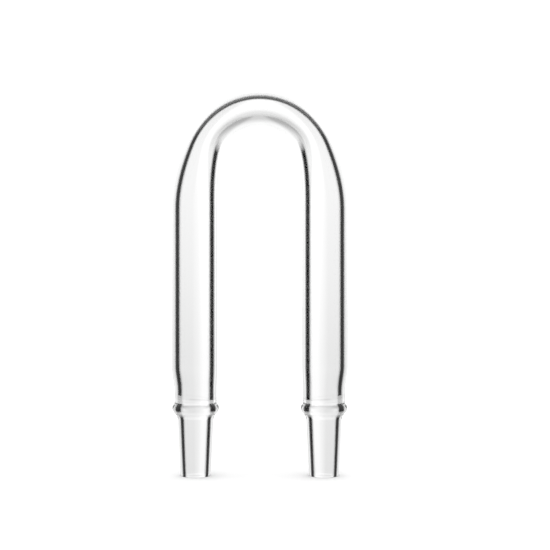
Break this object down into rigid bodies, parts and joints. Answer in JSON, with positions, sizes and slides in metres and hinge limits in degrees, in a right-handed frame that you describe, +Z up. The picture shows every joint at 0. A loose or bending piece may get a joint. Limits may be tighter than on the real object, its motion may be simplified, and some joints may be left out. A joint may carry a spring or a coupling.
{
  "type": "glass airlock bend",
  "caption": "Clear glass tube bent into an upside-down U, with a beaded male taper joint sealed on the foot of each leg.",
  "frame": {"origin": "on the plane that both rims stand on, midway between the two joints' axes", "axes": "+Z up, along both legs towards the bend; +X from the left joint to the right joint; +Y the depth, square to the bend's plane"},
  "size_m": [0.0718, 0.0204, 0.1569],
  "materials": {
    "tube_glass": "clear drawn borosilicate, polished",
    "seal_glass": "clear reworked glass, faintly rippled",
    "joint_glass": "clear moulded borosilicate, polished"
  },
  "bodies": {
    "root": {"bent_tube": "tube_glass", "left_seal_ring": "seal_glass", "right_seal_ring": "seal_glass", "left_cone_joint": "joint_glass", "right_cone_joint": "joint_glass"}
  },
  "joints": []
}
